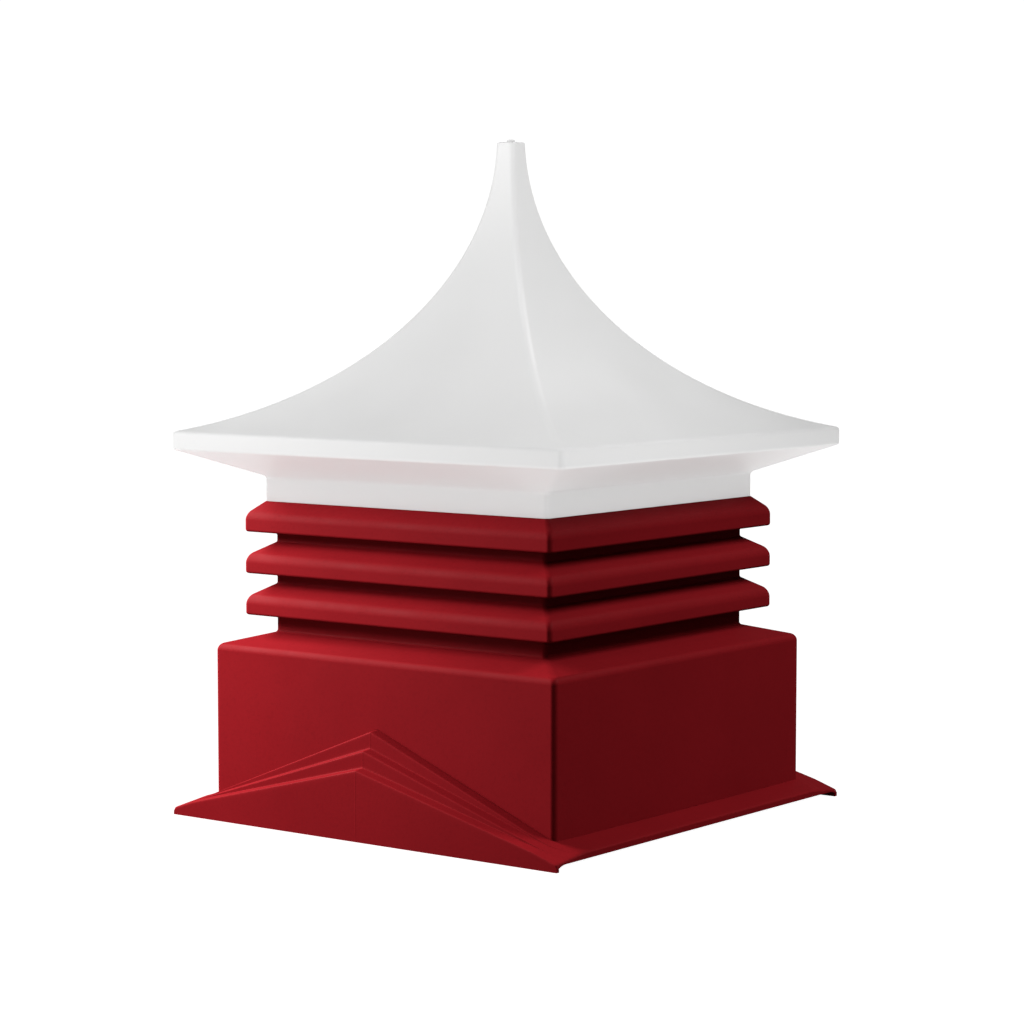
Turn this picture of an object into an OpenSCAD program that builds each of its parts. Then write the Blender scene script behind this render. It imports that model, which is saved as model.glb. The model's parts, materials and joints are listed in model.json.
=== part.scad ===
// Two-piece ridge cupola for a shed or barn roof.
// A red base with louvre ribs straddles the ridge, and a swept pale roof drops over its neck.
// The ridge of the building runs along Y: the front and back faces carry the pitch steps.
// Origin: middle of the footprint, on the level of the feet. +Z is up.

/* [Base box] */
// Outer width of the box walls
body_w = 490; // [430:5:620]
// Skin thickness of the base moulding
skin_t = 4.5; // [3:0.5:6]
// Height of the box walls' lower corners above the feet
root_z = 23; // [20:1:36]
// Height of the box walls, from their lower corners to the shoulder
wall_h = 167; // [130:1:240]
// Radius between box wall and shoulder
shoulder_r = 9; // [7:1:14]
// Rise of the shoulder, from the box walls to the neck
shoulder_h = 21; // [18:1:40]

/* [Pitch steps] */
// Depth of one pitch step, out from the wall
step_d = 13; // [9:0.5:18]
// Rise of the lowest gable line, from corner to peak (about a 3 in 12 pitch)
lower_rise = 58; // [40:1:75]
// Extra rise of each step above it (to about 4 and 5 in 12)
step_rise = 20; // [12:1:26]

/* [Eave flanges] */
// How far each eave flange stands out from the box wall
flange_w = 31; // [20:1:45]
// Fall of the flange, from the wall to its outer edge
flange_fall = 8.5; // [6:0.5:10]
// Depth of the lip at the flange's outer edge
lip_h = 7.5; // [7:0.5:9]
// Radius of the flange's outer edge
flange_r = 6; // [5:0.5:7]

/* [Neck and louvres] */
// Outer width of the neck
neck_w = 390; // [320:1:400]
// Height of the neck below the lowest louvre
neck_low_h = 17.7; // [8:0.1:40]
// Height of the neck that shows between two louvres
louvre_gap = 9.3; // [5:0.1:20]
// How far a louvre's nose stands out from the neck
louvre_d = 26; // [20:0.5:40]
// Height of a louvre's upright nose
nose_h = 20; // [14:1:26]
// Radius under a louvre's nose
nose_r = 5; // [3:0.5:6]
// Rise of a louvre's sloping top, from nose to neck
louvre_rise = 16; // [10:0.5:20]
// Fall of a louvre's underside, from nose to neck
louvre_fall = 3; // [1:0.5:4]
// Rise from the highest louvre's nose to the seat that carries the roof
seat_rise = 15; // [10:1:24]

/* [Roof] */
// Skin thickness of the roof moulding
roof_t = 4.5; // [3:0.5:6]
// Sideways clearance between the neck and the collar
collar_gap = 4.5; // [3:0.5:8]
// Height of the collar
collar_h = 28.5; // [24:0.5:50]
// Gap between the neck's top edge and the soffit
spigot_gap = 4; // [2:0.5:10]
// Width over the eaves
eave_w = 560; // [500:5:680]
// Rise of the soffit, from collar to fascia
soffit_rise = 32; // [24:1:60]
// Height of the fascia
fascia_h = 20.5; // [14:0.5:36]
// Rise of the swept roof, from fascia to spire top
roof_rise = 333; // [280:1:420]
// Width of the square spire top
spire_w = 26.8; // [24:0.2:48]
// How much rounder the sweep is than one that leaves the spire plumb
sweep_ease = 8.7; // [2:0.1:120]

/* [Finial boss] */
// Diameter of the boss on the spire top
boss_d = 9; // [6:0.5:14]
// Height of the boss
boss_h = 3; // [2:0.5:6]

/* [Hidden] */

red = "#8e1a20";
pale = "#dcdcde";
big = 1000;
roof_fn = 240;
arc_steps = 6;

// half widths, measured from the middle of the cupola
wall_x = body_w / 2;
wall_in = wall_x - skin_t;
flange_x = wall_x + flange_w;
neck_x = neck_w / 2;
neck_in = neck_x - skin_t;
nose_x = neck_x + louvre_d;
collar_in = neck_x + collar_gap;
collar_x = collar_in + roof_t;
eave_x = eave_w / 2;
eave_in = eave_x - roof_t;
spire_x = spire_w / 2;

// depth of the face of each step, from the middle: 0 is the box wall itself
function step_y(i) = wall_x + i * step_d;
apron_y = step_y(3);

// peak height of each gable line: 1 is the highest, at the wall, and 3 tops the apron
function peak(i) = root_z + lower_rise + (3 - i) * step_rise;

// heights of the box and the flanges
wall_top_z = root_z + wall_h;
shoulder_z = wall_top_z + shoulder_h;
flange_edge_z = root_z - flange_fall;
lip_z = flange_edge_z - lip_h;

// louvre heights: 0 is the lowest
louvre_pitch = louvre_fall + nose_h + louvre_rise + louvre_gap;
function foot_of_louvre(i) = shoulder_z + neck_low_h + i * louvre_pitch;
function nose_z(i) = foot_of_louvre(i) + louvre_fall;
function head_of_louvre(i) = nose_z(i) + nose_h + louvre_rise;

// the collar stands on a narrow flat seat on top of the highest louvre
seat_z = nose_z(2) + nose_h + seat_rise;
collar_top_z = seat_z + collar_h;
spigot_top_z = collar_top_z - spigot_gap;

// roof heights
soffit_slope = soffit_rise / (eave_x - collar_x);
soffit_tz = roof_t * sqrt(1 + soffit_slope * soffit_slope);
fascia_z = collar_top_z + soffit_rise;
eave_z = fascia_z + fascia_h;
spire_z = eave_z + roof_rise;

// the sweep is one arc through the edge of the eave and the edge of the spire top
sweep_out = eave_x - spire_x;
plumb_r = (sweep_out * sweep_out + roof_rise * roof_rise) / (2 * sweep_out);
sweep_r = plumb_r + sweep_ease;
sweep_chord = sqrt(sweep_out * sweep_out + roof_rise * roof_rise);
sweep_back = sqrt(sweep_r * sweep_r - sweep_chord * sweep_chord / 4);
sweep_x = (eave_x + spire_x) / 2 + sweep_back * roof_rise / sweep_chord;
sweep_z = (eave_z + spire_z) / 2 + sweep_back * sweep_out / sweep_chord;

// ---------- helpers ----------

// points of a round corner, from angle a to angle b about a centre
function round_corner(x, z, r, a, b) =
    [for (i = [0 : arc_steps]) let (t = a + (b - a) * i / arc_steps)
        [x + r * cos(t), z + r * sin(t)]];

// radius inside a corner of the skin
function inner_r(r) = max(0.2, r - skin_t);

// turns a piece made for the front face to face 0 front, 1 right, 2 back or 3 left
module face(k) {
    rotate([0, 0, 90 * k]) children();
}

// runs an outline, drawn as (distance out, height), along the front face
module along_front(length) {
    rotate([90, 0, -90]) linear_extrude(height = length, center = true) children();
}

// keeps what lies in front of the two mitre planes through the corners
module mitred() {
    intersection() {
        children();
        translate([0, 0, -big / 2]) linear_extrude(height = 2 * big)
            polygon([[0, 0], [-big, -big], [big, -big]]);
    }
}

// an outline run round one face, mitred at both corners
module panel(k) {
    face(k) mitred() along_front(2 * big) children();
}

// a square ring of skin between two heights
module ring(outer, inner, z0, z1) {
    translate([0, 0, z0]) linear_extrude(height = z1 - z0) difference() {
        square(2 * outer, center = true);
        square(2 * inner, center = true);
    }
}

// a plate standing across the front face, from depth y0 out to depth y1
module upright(y0, y1) {
    translate([0, -y0, 0]) rotate([90, 0, 0]) linear_extrude(height = y1 - y0) children();
}

// ---------- pitch steps and apron ----------

// the sloping ledge of a step: a bent strip one skin thick under gable line i
module ledge_outline(i) {
    polygon([[-wall_in, root_z], [0, peak(i)], [wall_in, root_z],
        [wall_in, root_z - skin_t], [0, peak(i) - skin_t], [-wall_in, root_z - skin_t]]);
}

// the riser between gable line i and the next one down, which meet at the wall's corners
module riser_outline(i) {
    polygon([[-wall_in, root_z], [0, peak(i)], [wall_in, root_z], [0, peak(i + 1)]]);
}

module gable_step(k, i) {
    color(red) face(k) {
        upright(step_y(i - 1) - skin_t, step_y(i) - skin_t) ledge_outline(i);
        upright(step_y(i) - skin_t, step_y(i)) riser_outline(i);
    }
}

// the outline of the eave flange's top, from the wall out to the lip
function flange_top(side) = [for (p = concat(
        [[wall_in, root_z], [wall_x, root_z]],
        round_corner(flange_x - flange_r, flange_edge_z - flange_r, flange_r, 72, 0)))
    [side * p[0], p[1]]];

function reversed(list) = [for (i = [len(list) - 1 : -1 : 0]) list[i]];

module gable_apron(k) {
    color(red) face(k) {
        upright(step_y(2) - skin_t, apron_y - skin_t) ledge_outline(3);
        upright(apron_y - skin_t, apron_y)
            polygon(concat([[-flange_x, 0]], reversed(flange_top(-1)), [[0, peak(3)]],
                flange_top(1), [[flange_x, 0]]));
    }
}

module gable_apron_front() { gable_apron(0); }
module gable_apron_back() { gable_apron(2); }
module gable_step_middle_front() { gable_step(0, 2); }
module gable_step_middle_back() { gable_step(2, 2); }
module gable_step_upper_front() { gable_step(0, 1); }
module gable_step_upper_back() { gable_step(2, 1); }

// ---------- eave flanges ----------

module eave_flange(k) {
    color(red) face(k) along_front(2 * (apron_y - skin_t))
        polygon(concat(flange_top(1),
            [[flange_x, lip_z], [flange_x - skin_t, lip_z]],
            reversed(round_corner(flange_x - flange_r, flange_edge_z - flange_r,
                inner_r(flange_r), 72, 0)),
            [[wall_x, root_z - skin_t], [wall_in, root_z - skin_t]]));
}

module eave_flange_right() { eave_flange(1); }
module eave_flange_left() { eave_flange(3); }

// ---------- box ----------

// a gable wall stands on the upper step, so its lower edge follows the gable line
module gable_wall(k) {
    color(red) face(k) mitred() upright(wall_in, wall_x)
        polygon([[-wall_x, root_z], [-wall_in, root_z], [0, peak(1)], [wall_in, root_z],
            [wall_x, root_z], [wall_x, wall_top_z], [-wall_x, wall_top_z]]);
}

module eave_wall(k) {
    color(red) panel(k)
        polygon([[wall_in, root_z], [wall_x, root_z], [wall_x, wall_top_z],
            [wall_in, wall_top_z]]);
}

module box_wall_front() { gable_wall(0); }
module box_wall_back() { gable_wall(2); }
module box_wall_right() { eave_wall(1); }
module box_wall_left() { eave_wall(3); }

// the shoulder turns in from the walls and slopes up to the neck
module shoulder_outline() {
    polygon(concat(
        [[wall_in, wall_top_z], [wall_x, wall_top_z]],
        round_corner(wall_x - shoulder_r, wall_top_z, shoulder_r, 12, 76),
        [[neck_x, shoulder_z], [neck_in, shoulder_z], [neck_in, shoulder_z - skin_t]],
        reversed(round_corner(wall_x - shoulder_r, wall_top_z, inner_r(shoulder_r), 12, 76))));
}

module box_shoulder() {
    color(red) for (k = [0 : 3]) panel(k) shoulder_outline();
}

// ---------- neck and louvres ----------

module neck_ring(z0, z1) {
    color(red) ring(neck_x, neck_in, z0, z1);
}

module neck_band_low() { neck_ring(shoulder_z, foot_of_louvre(0)); }
module neck_band_middle() { neck_ring(head_of_louvre(0), foot_of_louvre(1)); }
module neck_band_high() { neck_ring(head_of_louvre(1), foot_of_louvre(2)); }
module neck_spigot() { neck_ring(seat_z, spigot_top_z); }

// the hollow rib of one louvre: underside, rounded nose, sloping top and flat head
module louvre_outline(i, head_x, rise) {
    foot = foot_of_louvre(i);
    brow = nose_z(i) + nose_h;
    top = brow + rise;
    slope = rise / (nose_x - head_x);
    slope_tz = skin_t * sqrt(1 + slope * slope);
    centre_x = nose_x - nose_r;
    centre_z = nose_z(i) + nose_r;
    polygon(concat(
        [[neck_in, foot], [neck_x, foot]],
        round_corner(centre_x, centre_z, nose_r, -90, 0),
        [[nose_x, brow], [head_x, top], [neck_in, top], [neck_in, top - slope_tz],
            [head_x, top - slope_tz], [nose_x - skin_t, brow + skin_t * slope - slope_tz]],
        reversed(round_corner(centre_x, centre_z, inner_r(nose_r), -90, 0)),
        [[neck_in, foot + skin_t]]));
}

module louvre(i, k) {
    color(red) panel(k) louvre_outline(i, neck_x, louvre_rise);
}

// the highest louvre ends in the flat seat that carries the roof
module high_louvre(k) {
    color(red) panel(k) louvre_outline(2, collar_x, seat_rise);
}

module louvre_low_front() { louvre(0, 0); }
module louvre_low_right() { louvre(0, 1); }
module louvre_low_back() { louvre(0, 2); }
module louvre_low_left() { louvre(0, 3); }
module louvre_middle_front() { louvre(1, 0); }
module louvre_middle_right() { louvre(1, 1); }
module louvre_middle_back() { louvre(1, 2); }
module louvre_middle_left() { louvre(1, 3); }
module louvre_high_front() { high_louvre(0); }
module louvre_high_right() { high_louvre(1); }
module louvre_high_back() { high_louvre(2); }
module louvre_high_left() { high_louvre(3); }

// ---------- roof ----------

module roof_collar() {
    color(pale) ring(collar_x, collar_in, seat_z, collar_top_z);
}

// height of the soffit's underside at a distance out from the middle
function soffit_z(x) = collar_top_z + max(0, x - collar_x) * soffit_slope;

module soffit(k) {
    color(pale) panel(k)
        polygon([[collar_in, collar_top_z], [collar_x, collar_top_z],
            [eave_in, soffit_z(eave_in)], [eave_in, soffit_z(eave_in) + soffit_tz],
            [collar_x, collar_top_z + soffit_tz], [collar_in, collar_top_z + soffit_tz]]);
}

module soffit_front() { soffit(0); }
module soffit_right() { soffit(1); }
module soffit_back() { soffit(2); }
module soffit_left() { soffit(3); }

// the disc that hollows out the sweep, or with extra the inside of its skin
module sweep_disc(extra) {
    translate([sweep_x, sweep_z]) circle(r = sweep_r + extra, $fn = roof_fn);
}

module fascia(k) {
    color(pale) panel(k) difference() {
        polygon([[eave_in, soffit_z(eave_in)], [eave_x, fascia_z], [eave_x, eave_z],
            [eave_in, eave_z + roof_t]]);
        sweep_disc(0);
    }
}

module fascia_front() { fascia(0); }
module fascia_right() { fascia(1); }
module fascia_back() { fascia(2); }
module fascia_left() { fascia(3); }

module roof_slope(k) {
    color(pale) panel(k) intersection() {
        difference() {
            sweep_disc(roof_t);
            sweep_disc(0);
        }
        translate([0, eave_z - fascia_h]) square([eave_in, roof_rise + fascia_h - roof_t]);
    }
}

module roof_slope_front() { roof_slope(0); }
module roof_slope_right() { roof_slope(1); }
module roof_slope_back() { roof_slope(2); }
module roof_slope_left() { roof_slope(3); }

// the flat square that closes the spire
module spire_cap() {
    color(pale) translate([0, 0, spire_z - roof_t]) linear_extrude(height = roof_t)
        square(spire_w, center = true);
}

module finial_boss() {
    color(pale) translate([0, 0, spire_z]) cylinder(d = boss_d, h = boss_h, $fn = 48);
}

gable_apron_front();
gable_apron_back();
gable_step_middle_front();
gable_step_middle_back();
gable_step_upper_front();
gable_step_upper_back();
eave_flange_left();
eave_flange_right();
box_wall_front();
box_wall_back();
box_wall_left();
box_wall_right();
box_shoulder();
neck_band_low();
neck_band_middle();
neck_band_high();
neck_spigot();
louvre_low_front();
louvre_low_back();
louvre_low_left();
louvre_low_right();
louvre_middle_front();
louvre_middle_back();
louvre_middle_left();
louvre_middle_right();
louvre_high_front();
louvre_high_back();
louvre_high_left();
louvre_high_right();
roof_collar();
soffit_front();
soffit_back();
soffit_left();
soffit_right();
fascia_front();
fascia_back();
fascia_left();
fascia_right();
roof_slope_front();
roof_slope_back();
roof_slope_left();
roof_slope_right();
spire_cap();
finial_boss();
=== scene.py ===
# %% [markdown]
# # A ridge cupola for a shed roof
#
# The real piece is two plastic mouldings. The red base sits astride the ridge of a shed:
# its front and back have stepped gables that can be cut for three roof pitches, its sides
# have a narrow flange, and its neck carries three louvres. The pale roof is a hollow swept
# spire that drops over the neck. Both are thin skins with softly rounded corners, so most
# pieces below are drawn as a skin first and given their thickness last.

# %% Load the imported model
import json
import math

import bmesh
import bpy
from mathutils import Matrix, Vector

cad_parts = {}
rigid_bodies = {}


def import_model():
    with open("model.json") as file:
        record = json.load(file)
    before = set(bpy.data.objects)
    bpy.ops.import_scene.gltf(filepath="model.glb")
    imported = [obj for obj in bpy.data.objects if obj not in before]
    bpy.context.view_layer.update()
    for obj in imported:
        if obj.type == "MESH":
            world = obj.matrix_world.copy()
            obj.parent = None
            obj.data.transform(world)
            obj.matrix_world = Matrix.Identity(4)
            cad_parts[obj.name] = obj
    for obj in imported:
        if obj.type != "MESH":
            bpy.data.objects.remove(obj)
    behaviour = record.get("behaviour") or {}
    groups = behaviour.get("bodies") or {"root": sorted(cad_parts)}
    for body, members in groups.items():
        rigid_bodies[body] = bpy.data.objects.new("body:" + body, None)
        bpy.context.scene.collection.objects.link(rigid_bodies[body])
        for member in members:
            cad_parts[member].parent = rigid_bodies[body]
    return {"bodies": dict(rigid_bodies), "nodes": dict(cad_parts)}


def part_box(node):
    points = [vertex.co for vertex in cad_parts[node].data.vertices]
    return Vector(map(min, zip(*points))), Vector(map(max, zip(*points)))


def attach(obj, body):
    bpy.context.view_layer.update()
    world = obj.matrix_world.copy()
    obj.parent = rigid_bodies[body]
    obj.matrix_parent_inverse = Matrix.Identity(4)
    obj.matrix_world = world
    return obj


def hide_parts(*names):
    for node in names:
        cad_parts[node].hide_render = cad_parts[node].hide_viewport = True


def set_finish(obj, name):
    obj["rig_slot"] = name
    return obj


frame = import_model()
packed = set(frame["nodes"].values()) | set(frame["bodies"].values())
for leftover in [o for o in bpy.data.objects if o not in packed]:
    bpy.data.objects.remove(leftover)
bpy.context.view_layer.update()

# %% [markdown]
# ## Sizes
#
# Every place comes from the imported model. A half width is measured from the middle of the
# cupola out to a face, and a height from the level of the feet.

# %% Read the main sizes
MM = 0.001


def outer(node):
    """Half width of a front node, from the middle to its outermost face."""
    return -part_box(node)[0].y


def bottom(node):
    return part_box(node)[0].z


def top(node):
    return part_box(node)[1].z


wall_x = outer("box_wall_front")
root_z = bottom("box_wall_front")
wall_top_z = top("box_wall_front")
shoulder_z = top("box_shoulder")
LINE_HEIGHT = 0.2 * MM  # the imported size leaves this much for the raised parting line
apron_y = outer("gable_apron_front") - LINE_HEIGHT
flange_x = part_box("eave_flange_right")[1].x
flange_lip_z = bottom("eave_flange_right")
neck_x = outer("neck_band_low")
nose_x = outer("louvre_low_front")
collar_x = outer("roof_collar")
collar_z = bottom("roof_collar")
collar_top_z = top("roof_collar")
eave_x = outer("fascia_front")
spire_x = outer("spire_cap")
spire_z = top("spire_cap")
skin = wall_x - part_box("box_wall_right")[0].x
print("walls", wall_x, "neck", neck_x, "eaves", eave_x, "spire top", spire_z, "skin", skin)

# %% [markdown]
# ## Helpers for modelling by hand
#
# An operator works on all that is selected, so each step first picks its vertices by their
# place. These helpers open a piece, pick parts of it, move them and close it again.


# %% Open and close a piece
def select_only(piece):
    bpy.ops.object.select_all(action="DESELECT")
    piece.select_set(True)
    bpy.context.view_layer.objects.active = piece


def open_piece(piece):
    select_only(piece)
    bpy.ops.object.mode_set(mode="EDIT")


def close_piece():
    bpy.ops.object.mode_set(mode="OBJECT")


# %% Pick parts of a piece
def pick(kind, test):
    """Selects the vertices, edges or faces whose middle passes the test."""
    bpy.ops.mesh.select_mode(type=kind)
    bpy.ops.mesh.select_all(action="DESELECT")
    mesh = bpy.context.edit_object.data
    shape = bmesh.from_edit_mesh(mesh)
    if kind == "VERT":
        found = [v for v in shape.verts if test(v.co)]
    elif kind == "EDGE":
        found = [e for e in shape.edges if test((e.verts[0].co + e.verts[1].co) / 2)]
    else:
        found = [f for f in shape.faces if test(f.calc_center_median())]
    for part in found:
        part.select_set(True)
    shape.select_flush_mode()
    bmesh.update_edit_mesh(mesh)


SAME_PLACE = 0.02 * MM
WELD = 0.01 * MM


def near(a, b, reach=SAME_PLACE):
    return abs(a - b) < reach


def at(place):
    """A test for the vertices at one place."""
    return lambda co: (co - Vector(place)).length < SAME_PLACE


# %% Move and extrude what is picked
def move(x=0.0, y=0.0, z=0.0):
    bpy.ops.transform.translate(value=(x, y, z))


def extrude(x=0.0, y=0.0, z=0.0):
    bpy.ops.mesh.extrude_region_move(TRANSFORM_OT_translate={"value": (x, y, z)})


print("two places are the same within", SAME_PLACE, "and weld within", WELD)

# %% [markdown]
# ## Rings
#
# The box, the neck, the louvres and the roof are all the same idea: a square drawn up a
# profile. It could be lofted between many curves, but its outline needs only to be extruded
# and scaled from one height to the next. Where the profile turns, the edge that runs round
# the ring is then rounded with the bevel tool. The base's squares start with rounded
# corners. The roof's start sharp, and its hips are rounded last with one bevel of even
# width: low down, where two roof faces are nearly level, that gives a soft roll, and at the
# steep spire the same width gives a crisp corner, as on the moulding.


# %% Draw a rounded square up a profile
CORNER_STEPS = 8


def start_ring(name, half, height, corner, filled=False):
    """Begins a piece as a square, with corners rounded or sharp, and leaves it open."""
    bpy.ops.object.select_all(action="DESELECT")
    bpy.ops.mesh.primitive_plane_add(size=2 * half, location=(0, 0, height))
    piece = bpy.context.object
    piece.name = piece.data.name = name
    bpy.ops.object.transform_apply(location=True, rotation=True, scale=True)
    open_piece(piece)
    bpy.ops.mesh.select_all(action="SELECT")
    if corner:
        bpy.ops.mesh.bevel(offset=corner, segments=CORNER_STEPS, affect="VERTICES")
        bpy.ops.mesh.select_all(action="SELECT")
    if not filled:
        bpy.ops.mesh.delete(type="ONLY_FACE")
        bpy.ops.mesh.select_all(action="SELECT")
    return piece


def draw_ring(profile):
    """Extrudes and scales the selected outline through (half width, height) points."""
    for (half, height), (next_half, next_height) in zip(profile, profile[1:]):
        extrude(z=next_height - height)
        if next_half != half:
            scale = next_half / half
            bpy.ops.transform.resize(
                value=(scale, scale, 1), center_override=(0, 0, next_height))


def round_ring(height, radius, turn, steps=5):
    """Rounds the edge round the piece at one height, where the skin turns by some degrees."""
    bpy.ops.mesh.select_mode(type="EDGE")
    bpy.ops.mesh.select_all(action="DESELECT")
    shape = bmesh.from_edit_mesh(bpy.context.edit_object.data)
    for edge in shape.edges:
        edge.select_set(all(near(v.co.z, height) for v in edge.verts))
    bmesh.update_edit_mesh(bpy.context.edit_object.data)
    offset = radius * math.tan(math.radians(abs(turn)) / 2)
    bpy.ops.mesh.bevel(offset=offset, segments=steps, affect="EDGES", clamp_overlap=True)


# %% Round the hips, and measure the turns of a profile
def round_hips(offset, steps=6):
    """Rounds the four edges that run up the corners of a ring drawn with sharp corners."""
    pick("EDGE", lambda co: near(abs(co.x), abs(co.y)))
    bpy.ops.mesh.bevel(offset=offset, segments=steps, affect="EDGES")


def slope_angle(start, end):
    """Angle of a profile's stretch, in degrees above level."""
    return math.degrees(math.atan2(end[1] - start[1], end[0] - start[0]))


def turn_between(a, b, c):
    """How far a profile turns at its middle point, in degrees, between -180 and 180."""
    turn = slope_angle(b, c) - slope_angle(a, b)
    return (turn + 180) % 360 - 180


# %% [markdown]
# ## Skins
#
# A skin has to face outwards before it gets its thickness, or the inner wall would end up
# outside. Faces whose outward side is plain, such as the walls, decide together, each by
# its area. The thickness then grows inwards, so the outside keeps the size it was drawn.


# %% Face outwards
def face_outwards(piece, test):
    """Turns the skin so that the faces picked by the test look away from the middle."""
    bpy.ops.mesh.select_all(action="SELECT")
    bpy.ops.mesh.remove_doubles(threshold=WELD)
    bpy.ops.mesh.normals_make_consistent(inside=False)
    shape = bmesh.from_edit_mesh(piece.data)
    lean = 0.0
    for face in shape.faces:
        middle = face.calc_center_median()
        if test(middle):
            lean += face.normal.dot(Vector((middle.x, middle.y, 0))) * face.calc_area()
    if lean < 0:
        bpy.ops.mesh.select_all(action="SELECT")
        bpy.ops.mesh.flip_normals()


# %% Thicken and smooth
def use_modifier(piece, kind, **settings):
    """Adds a modifier with its settings, and applies it."""
    select_only(piece)
    bpy.ops.object.modifier_add(type=kind)
    modifier = piece.modifiers[-1]
    for key, value in settings.items():
        setattr(modifier, key, value)
    bpy.ops.object.modifier_apply(modifier=modifier.name)


def thicken(piece, thickness):
    use_modifier(piece, "SOLIDIFY", thickness=thickness, offset=-1.0, use_even_offset=True)


SMOOTH_ANGLE = math.radians(40)
FLAT_WEIGHT = 80


def smooth(piece):
    """Smooth shading that keeps the flats flat and lets only the rounded edges turn."""
    select_only(piece)
    bpy.ops.object.shade_smooth_by_angle(angle=SMOOTH_ANGLE)
    use_modifier(piece, "WEIGHTED_NORMAL", weight=FLAT_WEIGHT, keep_sharp=True)


# %% Hand over a piece, or copy it
PIECES = []


def hand_over(piece, slot, nodes):
    """Smooths the piece, hides the imported parts that it stands for, gives it a slot and prints
    its size.
    """
    smooth(piece)
    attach(piece, "root")
    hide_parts(*nodes)
    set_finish(piece, slot)
    PIECES.append(piece)
    low = [round(min(v.co[i] for v in piece.data.vertices), 4) for i in range(3)]
    high = [round(max(v.co[i] for v in piece.data.vertices), 4) for i in range(3)]
    print(piece.name, len(piece.data.polygons), "faces, from", low, "to", high)


def copy_of(piece, name, x=0.0, y=0.0, z=0.0):
    """A copy with its own mesh, moved within that mesh."""
    select_only(piece)
    bpy.ops.object.duplicate()
    copy = bpy.context.object
    copy.name = copy.data.name = name
    open_piece(copy)
    bpy.ops.mesh.select_all(action="SELECT")
    move(x, y, z)
    close_piece()
    return copy


# %% [markdown]
# ## The parting line
#
# The two halves of the base's mould meet in the middle of the gable faces, and leave a fine
# raised line there. It could be painted as a bump, but a real ridge catches light from any
# side. Three cuts close together give an edge that is then pushed out by a fraction of a
# millimetre.

# %% A helper for the parting line
LINE_HALF = 0.9 * MM


def raise_parting_line(low_z, high_z):
    """Cuts the open piece along its middle and lifts the line on the front and the back."""
    for cut_x in (-LINE_HALF, 0.0, LINE_HALF):
        bpy.ops.mesh.select_all(action="SELECT")
        bpy.ops.mesh.bisect(plane_co=(cut_x, 0, 0), plane_no=(1, 0, 0))
    for side in (-1, 1):
        pick("VERT", lambda co: near(co.x, 0) and co.y * side > 0 and low_z < co.z < high_z)
        move(y=side * LINE_HEIGHT)


print("the parting line is", 2 * LINE_HALF, "wide and stands", LINE_HEIGHT, "proud")

# %% [markdown]
# ## Box
#
# The box is one skin: four walls, a rounded shoulder that slopes up to the neck, and the
# foot of the neck. Plates could be joined edge to edge, but one ring has its corners for
# nothing. Its front and back walls stand on the highest gable line, so they are cut along it
# and the part below is taken away.

# %% Read the heights of the gables and louvres
peak_upper = top("gable_step_upper_front")
peak_middle = top("gable_step_middle_front")
peak_lower = top("gable_apron_front")
louvre_feet = [bottom(f"louvre_{level}_front") for level in ("low", "middle", "high")]
louvre_low_head = top("louvre_low_front")
louvre_gap = louvre_feet[1] - louvre_low_head
neck_low_z = louvre_feet[0] - louvre_gap / 2
print("gable peaks", peak_upper, peak_middle, peak_lower, "gap between louvres", louvre_gap)

# %% Model the box
BOX_CORNER = 6.5 * MM
SHOULDER_SLOPE = math.radians(15.4)
SHOULDER_RADIUS = 9 * MM
NECK_FOOT_RADIUS = 4 * MM

shoulder_fall = (wall_x - neck_x) * math.tan(SHOULDER_SLOPE)
box_profile = [(wall_x, root_z), (wall_x, shoulder_z - shoulder_fall), (neck_x, shoulder_z),
    (neck_x, neck_low_z)]
box = start_ring("box_shell", *box_profile[0], BOX_CORNER)
draw_ring(box_profile)
round_ring(box_profile[1][1], SHOULDER_RADIUS, turn_between(*box_profile[0:3]), steps=8)
round_ring(box_profile[2][1], NECK_FOOT_RADIUS, turn_between(*box_profile[1:4]))
print("the shoulder rises", shoulder_fall, "to the neck")

# %% Cut the gable walls along the highest gable line
CUT_CLEARANCE = 0.1 * MM
LINE_STOP = 12 * MM  # the parting line ends this far below the top of the shoulder
gable_rise = (peak_upper - root_z) / wall_x
for side in (-1, 1):
    pick("FACE", lambda co: near(abs(co.y), wall_x) and abs(co.x) < wall_x - BOX_CORNER)
    bpy.ops.mesh.bisect(plane_co=(0, 0, peak_upper), plane_no=(side * gable_rise, 0, 1))
pick("FACE", lambda co: near(abs(co.y), wall_x)
    and co.z < peak_upper - gable_rise * abs(co.x) - CUT_CLEARANCE)
bpy.ops.mesh.delete(type="FACE")
raise_parting_line(root_z, shoulder_z - LINE_STOP)
face_outwards(box, lambda co: co.z < wall_top_z)
close_piece()
thicken(box, skin)
hand_over(box, "red_moulding", ["box_wall_front", "box_wall_back", "box_wall_left",
    "box_wall_right", "box_shoulder", "neck_band_low"])

# %% [markdown]
# ## Louvres
#
# A louvre is a hollow rib: a short underside that falls inwards, an upright nose and a top
# that slopes back up to the neck. Solid bars could be laid round a plain neck, but the real
# ribs are folds of the skin, with soft roots. Each one is drawn from the middle of the gap
# below it to the middle of the gap above it, so the joints lie where nobody sees them. The
# low and the middle louvre are alike: one is modelled and copied. The highest ends in the
# flat seat that carries the roof.

# %% A helper for a louvre ring
NECK_CORNER = BOX_CORNER * neck_x / wall_x
LOUVRE_FALL = 3 * MM
NOSE_HEIGHT = 20 * MM
LOUVRE_RADII = [2.5 * MM, 3 * MM, 15 * MM, 3 * MM]  # root, lower nose, upper nose, top
LINE_UNDER_TOP = 2 * MM  # the parting line ends this far below a rib's top


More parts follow.
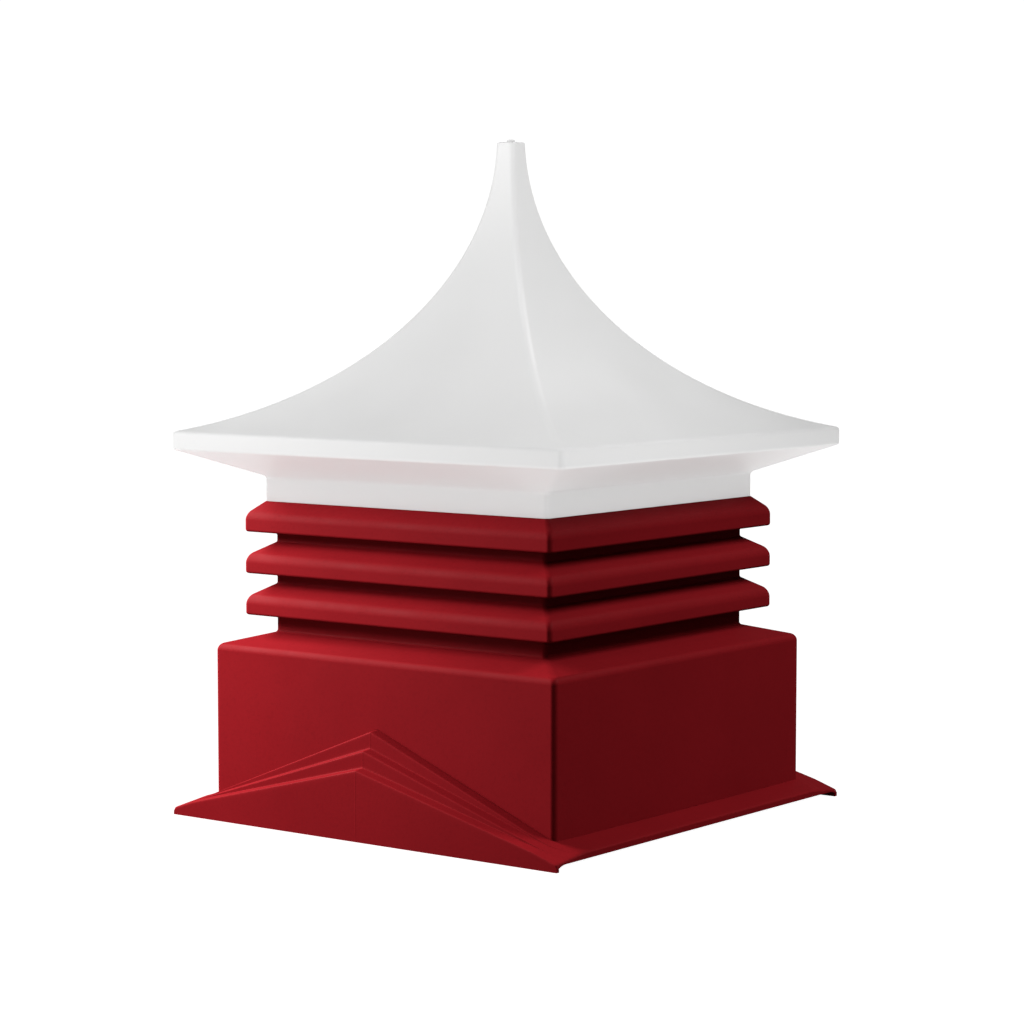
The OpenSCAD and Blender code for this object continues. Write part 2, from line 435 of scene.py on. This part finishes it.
def louvre(name, foot, profile_top):
    """One louvre ring from the gap below it to the last points of its profile."""
    nose_z = foot + LOUVRE_FALL
    profile = [(neck_x, foot - louvre_gap / 2), (neck_x, foot), (nose_x, nose_z),
        (nose_x, nose_z + NOSE_HEIGHT), *profile_top]
    ring = start_ring(name, *profile[0], NECK_CORNER)
    draw_ring(profile)
    for i, radius in enumerate(LOUVRE_RADII, start=1):
        round_ring(profile[i][1], radius, turn_between(*profile[i - 1:i + 2]), steps=6)
    raise_parting_line(profile[0][1], profile[4][1] - LINE_UNDER_TOP)
    face_outwards(ring, lambda co: near(max(abs(co.x), abs(co.y)), nose_x))
    close_piece()
    thicken(ring, skin)
    return ring


# %% Model the louvres
low_top = [(neck_x, louvre_low_head), (neck_x, louvre_low_head + louvre_gap / 2)]
louvre_low = louvre("louvre_low", louvre_feet[0], low_top)
louvre_middle = copy_of(louvre_low, "louvre_middle", z=louvre_feet[1] - louvre_feet[0])
spigot_top_z = top("neck_spigot")
SEAT_FALL = 0.05 * MM  # rings are picked by height, so no two points share one
seat_top = [(collar_x, collar_z), (neck_x, collar_z + SEAT_FALL), (neck_x, spigot_top_z)]
louvre_high = louvre("louvre_high", louvre_feet[2], seat_top)

# %% Hand over the louvres
sides = ("front", "back", "left", "right")
hand_over(louvre_low, "red_moulding",
    [f"louvre_low_{side}" for side in sides] + ["neck_band_middle"])
hand_over(louvre_middle, "red_moulding",
    [f"louvre_middle_{side}" for side in sides] + ["neck_band_high"])
hand_over(louvre_high, "red_moulding",
    [f"louvre_high_{side}" for side in sides] + ["neck_spigot"])

# %% [markdown]
# ## Stepped skirt
#
# Below the walls the moulding turns outwards. On the gable faces three ledges fan out from
# the corners of the box, one for each roof pitch, and the apron drops from the last one to
# the roof. On the sides it is a narrow flange with a rounded lip. All of it is one flowing
# skin, so a quarter of it is drawn as a coarse net, row by row, and mirrored twice. A
# subdivision surface then rounds it: the rows stand close together where an edge is crisp,
# and they draw together towards the corners, so the steps fade there by themselves.

# %% Sizes of the skirt
step_d = (apron_y - wall_x) / 3
LEDGE_FALL = 1.3 * MM
TIP_TOP_Z = 8 * MM
MITRE_BACK = 57 * MM  # the mitre reaches the flange's edge this far behind the apron
FLANGE_FALL = 8.5 * MM
END_RISER = 0.5 * MM
EDGE_ROOM = 3.2 * MM  # rows this close to an edge keep it fairly crisp
flange_edge_z = root_z - FLANGE_FALL

mitre_end = Vector((flange_x, -(apron_y - MITRE_BACK), flange_edge_z))
tip = Vector((flange_x, -apron_y, TIP_TOP_Z))
print("each ledge is", step_d, "deep, and the mitre ends at", mitre_end)


# %% Start the quarter's net at the wall
class Row:
    """Where the last row of the net lies: in the middle, at the wall's corner and at the tip."""

    def __init__(self):
        self.middle = Vector((0, -wall_x, peak_upper))
        self.corner = Vector((wall_x, -wall_x, root_z))
        self.tip = mitre_end.copy()


row = Row()
HALF = 0.5  # of a plane one metre wide
bpy.ops.object.select_all(action="DESELECT")
bpy.ops.mesh.primitive_plane_add(size=1, location=(0, 0, 0))
skirt = bpy.context.object
skirt.name = skirt.data.name = "pitch_skirt"
open_piece(skirt)
pick("VERT", lambda co: co.y < 0)
bpy.ops.mesh.delete(type="VERT")
pick("VERT", lambda co: co.x < 0)
move(*(row.middle - Vector((-HALF, HALF, 0))))
pick("VERT", lambda co: near(co.x, HALF))
move(*(row.corner - Vector((HALF, HALF, 0))))
extrude(*(row.tip - row.corner))
pick("VERT", lambda co: True)

# %% Draw the ledges and risers
tip_way = 3 * step_d + 6 * END_RISER  # three ledges, and six rows in the two risers


def draw_row(out, middle_drop, corner_drop):
    """Extrudes the row of three points: outwards by one value, down by its own at each."""
    share = (out + (END_RISER if out == 0 else 0)) / tip_way
    tip_shift = (tip - mitre_end) * share
    extrude(0, -out, -middle_drop)
    for place, shift in ((row.corner, Vector((0, -out, -corner_drop))), (row.tip, tip_shift)):
        moved = place + Vector((0, -out, -middle_drop))
        pick("VERT", at(moved))
        move(*(shift - (moved - place)))
    row.middle += Vector((0, -out, -middle_drop))
    row.corner += Vector((0, -out, -corner_drop))
    row.tip += tip_shift
    pick("VERT", lambda co: any(at(p)(co) for p in (row.middle, row.corner, row.tip)))


for peak, next_peak in ((peak_upper, peak_middle), (peak_middle, peak_lower), (peak_lower, None)):
    for part in (EDGE_ROOM, step_d - 2 * EDGE_ROOM, EDGE_ROOM):
        drop = LEDGE_FALL * part / step_d
        draw_row(part, drop, drop)
    if next_peak:
        riser = peak - LEDGE_FALL - next_peak
        for part in (EDGE_ROOM, riser - 2 * EDGE_ROOM, EDGE_ROOM):
            draw_row(0, part, END_RISER / 3)
print("outer edge of the lowest ledge runs from", row.middle.z, "down to", row.tip.z)

# %% [markdown]
# The apron hangs from the lowest ledge down to the level of the feet. The side flange runs
# from the mitre at the wall's corner to the middle of the side. Its lip follows the outer
# edge: it is straight along the side, and curves down to the foot at the tip. The apron and
# the lip have their rows at the same shares of their height, so they meet at the tip.

# %% Draw the apron
FOOT_CURVE = 15 * MM
LIP_SHARES = (0.65, 0.3, 0.0)  # heights of the rows, from the foot up
EDGE_MARGIN = 0.1 * MM


def lip_bottom(y):
    """Height of the lip's lower edge: a quarter curve up from the foot, then straight."""
    back = min(FOOT_CURVE, y + apron_y)
    return flange_lip_z * math.sqrt(1 - (1 - back / FOOT_CURVE) ** 2)


def level_at(height):
    bpy.ops.transform.resize(value=(1, 1, 0), center_override=(0, 0, height))


extrude(z=-(1 - LIP_SHARES[0]) * row.tip.z)
for share in LIP_SHARES[1:]:
    extrude(z=-MM)
    level_at(share * row.tip.z)

# %% Draw the flange back to the middle of the side
wall_corner = (wall_x, -wall_x, root_z)
pick("VERT", lambda co: at(wall_corner)(co) or at(mitre_end)(co))
extrude(y=MM)
bpy.ops.transform.resize(value=(1, 0, 1), center_override=(0, 0, 0))

# %% Draw the lip along the flange's outer edge
pick("VERT", lambda co: near(co.x, flange_x) and co.z > row.tip.z - EDGE_MARGIN)
shape = bmesh.from_edit_mesh(skirt.data)
edge_places = [v.co.copy() for v in shape.verts if v.select]
now_places = list(edge_places)
for share in LIP_SHARES:
    extrude(z=-MM)
    for i, place in enumerate(edge_places):
        lowest = lip_bottom(place.y)
        aim = lowest + share * (place.z - lowest)
        moved = now_places[i] - Vector((0, 0, MM))
        pick("VERT", at(moved))
        move(z=aim - moved.z)
        now_places[i] = Vector((place.x, place.y, aim))
    pick("VERT", lambda co: any(at(place)(co) for place in now_places))

# %% Tuck the skin under the walls
tucks = {(0, -wall_x, peak_upper): (0, skin), wall_corner: (-skin, skin),
    (wall_x, 0, root_z): (-skin, 0)}
pick("VERT", lambda co: any(at(place)(co) for place in tucks))
extrude(z=MM)
for place, (in_x, in_y) in tucks.items():
    pick("VERT", at(Vector(place) + Vector((0, 0, MM))))
    move(in_x, in_y, -MM)

# %% Cut the net where it should stay crisp: by the middle, the wall and the outer edge
for cut_x in (2.5 * MM, wall_x - 3 * MM, flange_x - 6 * MM):
    bpy.ops.mesh.select_all(action="SELECT")
    bpy.ops.mesh.bisect(plane_co=(cut_x, 0, 0), plane_no=(1, 0, 0))
bpy.ops.mesh.select_all(action="SELECT")
bpy.ops.mesh.remove_doubles(threshold=WELD)
close_piece()
print("quarter net:", len(skirt.data.polygons), "faces")

# %% Mirror, round and thicken the skirt
MIRROR_WELD = 0.05 * MM
LINE_FOOT = 3 * MM
APRON_REACH = 0.5 * MM
use_modifier(skirt, "MIRROR", use_axis=(True, True, False), merge_threshold=MIRROR_WELD)
use_modifier(skirt, "SUBSURF", levels=2, render_levels=2)
open_piece(skirt)
raise_parting_line(LINE_FOOT, peak_upper)
face_outwards(skirt, lambda co: near(abs(co.y), apron_y, APRON_REACH))
close_piece()
thicken(skirt, skin)
hand_over(skirt, "red_moulding",
    [f"gable_{part}_{side}" for part in ("apron", "step_middle", "step_upper")
        for side in ("front", "back")] + ["eave_flange_left", "eave_flange_right"])

# %% [markdown]
# ## Roof
#
# Each roof face is a hollow sweep: one arc from the edge of the eave up to the square top of
# the spire. The skin is drawn round its own section as rings: down the inside of the sweep,
# round the fascia and up the outside. The flat top is then filled. An arc is found from the
# two ends that it joins and from its radius, which is a little more than that of the arc
# that would leave the spire quite upright.

# %% Find the edges of the eave
eave_edge = [v.co.z for v in frame["nodes"]["fascia_front"].data.vertices
    if near(-v.co.y, eave_x)]
fascia_z, eave_z = min(eave_edge), max(eave_edge)
roof_skin = collar_x - min(
    abs(v.co.x) for v in frame["nodes"]["roof_collar"].data.vertices)
eave_in = eave_x - roof_skin
print("fascia from", fascia_z, "to", eave_z, "roof skin", roof_skin)

# %% Work out the sweep
SWEEP_EASE = 8.7 * MM
SWEEP_STEPS = 40
out, rise = eave_x - spire_x, spire_z - eave_z
chord = math.hypot(out, rise)
sweep_r = (out ** 2 + rise ** 2) / (2 * out) + SWEEP_EASE
back = math.sqrt(sweep_r ** 2 - chord ** 2 / 4)
centre_x = (eave_x + spire_x) / 2 + back * rise / chord
centre_z = (eave_z + spire_z) / 2 + back * out / chord
print("sweep radius", sweep_r, "about", centre_x, centre_z)


def sweep(radius, start, end, steps):
    """Points of an arc about the sweep's centre, between two angles in radians."""
    return [(centre_x + radius * math.cos(a), centre_z + radius * math.sin(a))
        for a in (start + (end - start) * i / steps for i in range(steps + 1))]


def sweep_angle(x, z):
    return math.atan2(z - centre_z, x - centre_x)


# %% Work out the canopy's profile
inner_r = sweep_r + roof_skin
inner_top_z = spire_z - roof_skin
inner_top_x = centre_x - math.sqrt(inner_r ** 2 - (inner_top_z - centre_z) ** 2)
inner_edge_z = centre_z - math.sqrt(inner_r ** 2 - (eave_in - centre_x) ** 2)
soffit_slope = (fascia_z - collar_top_z) / (eave_x - collar_x)
soffit_edge_z = collar_top_z + (eave_in - collar_x) * soffit_slope

inside = sweep(inner_r, sweep_angle(inner_top_x, inner_top_z),
    sweep_angle(eave_in, inner_edge_z), SWEEP_STEPS)
outside = sweep(sweep_r, sweep_angle(eave_x, eave_z), sweep_angle(spire_x, spire_z),
    SWEEP_STEPS)
canopy_profile = inside + [(eave_in, soffit_edge_z), (eave_x, fascia_z)] + outside
print("the canopy's profile has", len(canopy_profile), "points")

# %% Model the canopy: spire, slopes and fascia
HIP_OFFSET = 6 * MM
SPIRE_EDGE = 1.5 * MM
EAVE_EDGE = 4.5 * MM
FASCIA_EDGE = 3.5 * MM
SQUARE_TURN = 90
EAVE_TURN = 76
SOFFIT_TURN = 67
canopy = start_ring("roof_canopy", *inside[0], 0, filled=True)
draw_ring(canopy_profile)
bpy.ops.mesh.edge_face_add()
round_ring(spire_z, SPIRE_EDGE, SQUARE_TURN, steps=4)
round_ring(eave_z, EAVE_EDGE, EAVE_TURN, steps=5)
round_ring(fascia_z, FASCIA_EDGE, SOFFIT_TURN, steps=5)
round_hips(HIP_OFFSET)
face_outwards(canopy, lambda co: near(max(abs(co.x), abs(co.y)), eave_x))
close_piece()
hand_over(canopy, "pale_moulding",
    [f"{part}_{side}" for part in ("roof_slope", "fascia") for side in sides]
    + ["spire_cap"])

# %% [markdown]
# ## Soffit and collar
#
# The underside of the roof turns down into the collar with a soft fillet. It could be drawn
# with the canopy, but as a ring of its own it is one short profile and gets its thickness
# from one modifier. The collar's lower edge is rounded, because it is the edge that is slid
# over the neck.

# %% Model the soffit and the collar
COLLAR_FILLET = 5 * MM
COLLAR_LIP = 1.6 * MM
FILLET_REACH = 8 * MM
soffit_profile = [(collar_x, collar_z), (collar_x, collar_top_z), (eave_in, soffit_edge_z)]
underside = start_ring("roof_underside", *soffit_profile[0], 0)
draw_ring(soffit_profile)
round_ring(collar_top_z, COLLAR_FILLET, SOFFIT_TURN, steps=8)
round_hips(HIP_OFFSET)
face_outwards(underside, lambda co: co.z < collar_top_z - FILLET_REACH)
close_piece()
thicken(underside, roof_skin)
open_piece(underside)
round_ring(collar_z, COLLAR_LIP, SQUARE_TURN, steps=4)
close_piece()
hand_over(underside, "pale_moulding", [f"soffit_{side}" for side in sides] + ["roof_collar"])

# %% [markdown]
# ## Finial boss
#
# A small round boss stands on the flat top of the spire. Its profile could be spun, but it
# is quicker to start from a cylinder and bevel a rounded rim and inset a shallow dish, as a
# trimmed plug has.

# %% Model the boss
RIM_SHARE = 0.35
DISH_SHARE = 0.25
DISH_DEPTH = 0.6 * MM
DISH_EDGE = 0.3 * MM
boss_low, boss_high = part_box("finial_boss")
boss_r = boss_high.x
bpy.ops.object.select_all(action="DESELECT")
bpy.ops.mesh.primitive_cylinder_add(vertices=32, radius=boss_r,
    depth=boss_high.z - boss_low.z, location=(0, 0, (boss_low.z + boss_high.z) / 2))
boss = bpy.context.object
boss.name = boss.data.name = "finial_plug"
bpy.ops.object.transform_apply(location=True, rotation=True, scale=True)
open_piece(boss)
pick("FACE", lambda co: near(co.z, boss_high.z))
bpy.ops.mesh.bevel(offset=boss_r * RIM_SHARE, segments=4, affect="EDGES")
pick("FACE", lambda co: near(co.z, boss_high.z))
bpy.ops.mesh.inset(thickness=boss_r * DISH_SHARE)
move(z=-DISH_DEPTH)
bpy.ops.mesh.bevel(offset=DISH_EDGE, segments=3, affect="EDGES")
close_piece()
hand_over(boss, "pale_moulding", ["finial_boss"])

# %% [markdown]
# ## Finishes
#
# Both mouldings are thick-skinned plastic coloured right through. Such plastic is never even:
# the pigment clouds a little, the surface has the fine grain of the mould, and large flats
# are slightly wavy from cooling. A painted picture could hold all that, but noise in object
# space needs no unwrapping and runs on unbroken round every corner.


# %% Helpers for finishes
class Finish:
    """A material whose nodes are added and linked one by one."""

    def __init__(self, name):
        self.material = bpy.data.materials.new(name)
        self.material.use_nodes = True
        self.tree = self.material.node_tree
        self.tree.nodes.clear()
        self.place = self.add("ShaderNodeTexCoord").outputs["Object"]

    def add(self, kind, **settings):
        node = self.tree.nodes.new(kind)
        for key, value in settings.items():
            setattr(node, key, value)
        return node

    def join(self, output, socket):
        self.tree.links.new(output, socket)

    def noise(self, scale, detail=3.0, rough=0.5):
        """Cloudy noise in object space, with that many clouds to a metre."""
        node = self.add("ShaderNodeTexNoise")
        node.inputs["Scale"].default_value = scale
        node.inputs["Detail"].default_value = detail
        node.inputs["Roughness"].default_value = rough
        self.join(self.place, node.inputs["Vector"])
        return node.outputs["Fac"]

    def between(self, value, low, high, from_low=0.35, from_high=0.65):
        """Maps the middle of a noise's range to a range of values."""
        node = self.add("ShaderNodeMapRange")
        node.inputs["From Min"].default_value = from_low
        node.inputs["From Max"].default_value = from_high
        node.inputs["To Min"].default_value = low
        node.inputs["To Max"].default_value = high
        self.join(value, node.inputs["Value"])
        return node.outputs["Result"]

    def mix(self, share, colour_a, colour_b):
        """Mixes two colours, each a fixed colour or the output of a node."""
        node = self.add("ShaderNodeMix", data_type="RGBA")
        self.join(share, node.inputs["Factor"])
        for colour, socket in ((colour_a, node.inputs[6]), (colour_b, node.inputs[7])):
            if isinstance(colour, tuple):
                socket.default_value = (*colour, 1)
            else:
                self.join(colour, socket)
        return node.outputs[2]

    def bump(self, height, strength, distance, under=None):
        node = self.add("ShaderNodeBump")
        node.inputs["Strength"].default_value = strength
        node.inputs["Distance"].default_value = distance
        self.join(height, node.inputs["Height"])
        if under:
            self.join(under, node.inputs["Normal"])
        return node.outputs["Normal"]

    def close(self, colour, roughness, normal, **constants):
        """Ends the finish in a plastic shader. Constants are set on its own sockets."""
        shader = self.add("ShaderNodeBsdfPrincipled")
        self.join(colour, shader.inputs["Base Color"])
        self.join(roughness, shader.inputs["Roughness"])
        self.join(normal, shader.inputs["Normal"])
        for key, value in constants.items():
            shader.inputs[key.replace("_", " ")].default_value = value
        output = self.add("ShaderNodeOutputMaterial")
        self.join(shader.outputs["BSDF"], output.inputs["Surface"])
        return self.material


# %% [markdown]
# The red is a deep colour with a very weak sheen, so its index of refraction is set low: a
# stronger one would lay a grey veil over the shaded sides. Small darker specks of pigment
# lie among the clouds. The pale plastic has the usual index of such plastic and broader,
# gentler waves.

# %% Red moulding
RED_DEEP = (0.101, 0.0034, 0.0050)
RED_CLEAR = (0.113, 0.0038, 0.0056)
RED_SPECK = (0.075, 0.0025, 0.004)
red = Finish("red_moulded_plastic")
clouds = red.between(red.noise(7, 3), 0, 1, 0.25, 0.75)
specks = red.between(red.noise(240, 2, 0.6), 0, 0.35, 0.5, 0.8)
body = red.mix(clouds, RED_DEEP, RED_CLEAR)
colour = red.mix(specks, body, RED_SPECK)
roughness = red.between(red.noise(18, 3), 0.46, 0.56)
waves = red.bump(red.noise(9, 2), 0.25, 4 * MM)
grain = red.bump(red.noise(900, 2), 0.12, 0.3 * MM, waves)
red_plastic = red.close(colour, roughness, grain, IOR=1.05)
print(red_plastic.name, "has", len(red.tree.nodes), "nodes")

# %% Pale moulding
PALE_DEEP = (0.78, 0.78, 0.778)
PALE_CLEAR = (0.81, 0.81, 0.808)
pale = Finish("pale_moulded_plastic")
clouds = pale.between(pale.noise(4, 1), 0, 1, 0.2, 0.8)
body = pale.mix(clouds, PALE_DEEP, PALE_CLEAR)
roughness = pale.between(pale.noise(12, 3), 0.4, 0.52)
waves = pale.bump(pale.noise(3.5, 0), 0.2, 8 * MM)
grain = pale.bump(pale.noise(700, 2), 0.06, 0.2 * MM, waves)
pale_plastic = pale.close(body, roughness, grain, IOR=1.5)
print(pale_plastic.name, "has", len(pale.tree.nodes), "nodes")

# %% Give each piece its finish
for piece in PIECES:
    piece.data.materials.clear()
    piece.data.materials.append(
        red_plastic if piece["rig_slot"] == "red_moulding" else pale_plastic)
    print(piece.name, "is finished in", piece.data.materials[0].name)

# %% [markdown]
# ## Floor
#
# The cupola stands on a plain white light table, as small goods do in a studio: the floor
# glows evenly, so there is no hard shadow and the soffit is lit from below.

# %% Floor
FLOOR_RADIUS = 30
FLOOR_GLOW = 1.0
bpy.ops.object.select_all(action="DESELECT")
bpy.ops.mesh.primitive_circle_add(vertices=96, radius=FLOOR_RADIUS, fill_type="NGON",
    location=(0, 0, 0))
floor = bpy.context.object
floor.name = floor.data.name = "studio_floor"
white = Finish("floor_paint")
shade = white.between(white.noise(3, 2), 0, 1)
paint = white.mix(shade, (0.90, 0.90, 0.90), (0.92, 0.92, 0.92))
floor_paint = white.close(paint, white.between(white.noise(5), 0.6, 0.7),
    white.bump(white.noise(60), 0.1, MM), Emission_Color=(1, 1, 1, 1),
    Emission_Strength=FLOOR_GLOW, Specular_IOR_Level=0.0)
floor.data.materials.append(floor_paint)
print("floor of radius", FLOOR_RADIUS, "glows at", FLOOR_GLOW)

# %% [markdown]
# ## Camera
#
# The camera stands a little above the eaves and looks at the middle of the cupola, 37
# degrees round from the gable face. A long lens from a few metres keeps the upright edges
# nearly parallel.

# %% Camera
LENS = 102.1
VIEW_SIDE = math.radians(37.27)
VIEW_UP = math.radians(4.72)
VIEW_DISTANCE = 3.403
AIM_ASIDE = 1.14 * MM
AIM_HEIGHT = 0.3472
across = Vector((math.cos(VIEW_SIDE), math.sin(VIEW_SIDE), 0))
target = across * AIM_ASIDE + Vector((0, 0, AIM_HEIGHT))
away = Vector((math.sin(VIEW_SIDE) * math.cos(VIEW_UP),
    -math.cos(VIEW_SIDE) * math.cos(VIEW_UP), math.sin(VIEW_UP)))
bpy.ops.object.camera_add(location=target + away * VIEW_DISTANCE)
camera = bpy.context.object
camera.rotation_euler = (-away).to_track_quat("-Z", "Y").to_euler()
camera.data.lens = LENS
camera.data.clip_end = 100
bpy.context.scene.camera = camera
print("camera at", camera.location)

# %% [markdown]
# ## Light
#
# A deep red and a near white need very different amounts of light, and a studio flags its
# lamps to give each its own. Here light linking does that. The floor's glow reaches the pale
# roof only, so that the gaps under the louvres stay dark.
#
# On the base, a key and a wider softbox at the left brighten the gable face and fall off
# towards the near corner, a large softbox high behind on the right lights the side, a small
# low one lifts the apron's foot, and a weak one beside the camera opens the shadows. On the
# roof, two large softboxes hang above, one behind and one in front, a third stands at the
# left, two small ones stand close to the spire, and a low one in front lights the soffit.


# %% Helpers for light
def light_only(source, lit):
    """Puts up flags, so that the light falls on those pieces alone."""
    flags = bpy.data.collections.new(source.name + "_flags")
    for piece in lit:
        flags.objects.link(piece)
    source.light_linking.receiver_collection = flags


def softbox(name, place, aim, size, power, lit):
    """A square area light that faces a point and is flagged off all but some pieces."""
    bpy.ops.object.light_add(type="AREA", location=place)
    lamp = bpy.context.object
    lamp.name = name
    lamp.rotation_euler = (Vector(aim) - Vector(place)).to_track_quat("-Z", "Y").to_euler()
    lamp.data.size = size
    lamp.data.energy = power
    light_only(lamp, lit)


# %% Light the base and the roof
red_pieces = [p for p in PIECES if p["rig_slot"] == "red_moulding"]
pale_pieces = [p for p in PIECES if p["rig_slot"] == "pale_moulding"]
light_only(floor, pale_pieces)

GABLE = (0, -0.2, 0.2)
APRON = (0, -0.28, 0.03)
BASE = (0, 0, 0.2)
EAVES = (0, 0, 0.5)
SLOPES = (0, 0, 0.6)
SPIRE = (0, 0, 0.7)
softbox("base_key", (-1.05, -0.85, 0.8), GABLE, 0.5, 72, red_pieces)
softbox("base_left", (-1.6, -0.5, 1.6), GABLE, 0.8, 108, red_pieces)
softbox("base_right", (1.9, 1.2, 2.2), BASE, 1.2, 128, red_pieces)
softbox("base_low", (-0.35, -0.95, 0.08), APRON, 0.15, 1.6, red_pieces)
softbox("base_fill", (1.6, -2.4, 0.9), BASE, 1.0, 6, red_pieces)
softbox("roof_top", (0.3, 1.0, 2.6), EAVES, 1.0, 21, pale_pieces)
softbox("roof_front", (0, -0.9, 2.4), EAVES, 1.0, 13, pale_pieces)
softbox("roof_key", (-1.9, -1.1, 0.75), SLOPES, 0.8, 7, pale_pieces)
softbox("spire_left", (-0.5, -0.8, 0.8), SPIRE, 0.3, 2.1, pale_pieces)
softbox("spire_right", (0.8, -0.2, 0.8), SPIRE, 0.3, 1.8, pale_pieces)
softbox("soffit_glow", (0.2, -1.3, 0.05), EAVES, 0.8, 1.7, pale_pieces)
print(len(red_pieces), "red pieces and", len(pale_pieces), "pale pieces are lit")

# %% [markdown]
# The sky gives a faint even light, but where the camera sees it directly it is white, so
# that the floor seems to run on without an end.

# %% Sky
SKY_LIGHT = 0.12
SKY_SEEN = 1.05
studio = bpy.context.scene.world or bpy.data.worlds.new("studio")
bpy.context.scene.world = studio
studio.use_nodes = True
sky_nodes, sky_links = studio.node_tree.nodes, studio.node_tree.links
sky = sky_nodes["Background"]
sky.inputs["Color"].default_value = (1, 1, 1, 1)
path = sky_nodes.new("ShaderNodeLightPath")
brightness = sky_nodes.new("ShaderNodeMapRange")
brightness.inputs["To Min"].default_value = SKY_LIGHT
brightness.inputs["To Max"].default_value = SKY_SEEN
sky_links.new(path.outputs["Is Camera Ray"], brightness.inputs["Value"])
sky_links.new(brightness.outputs["Result"], sky.inputs["Strength"])
bpy.context.scene.view_settings.view_transform = "Standard"
print("sky lights at", SKY_LIGHT, "and is seen at", SKY_SEEN)
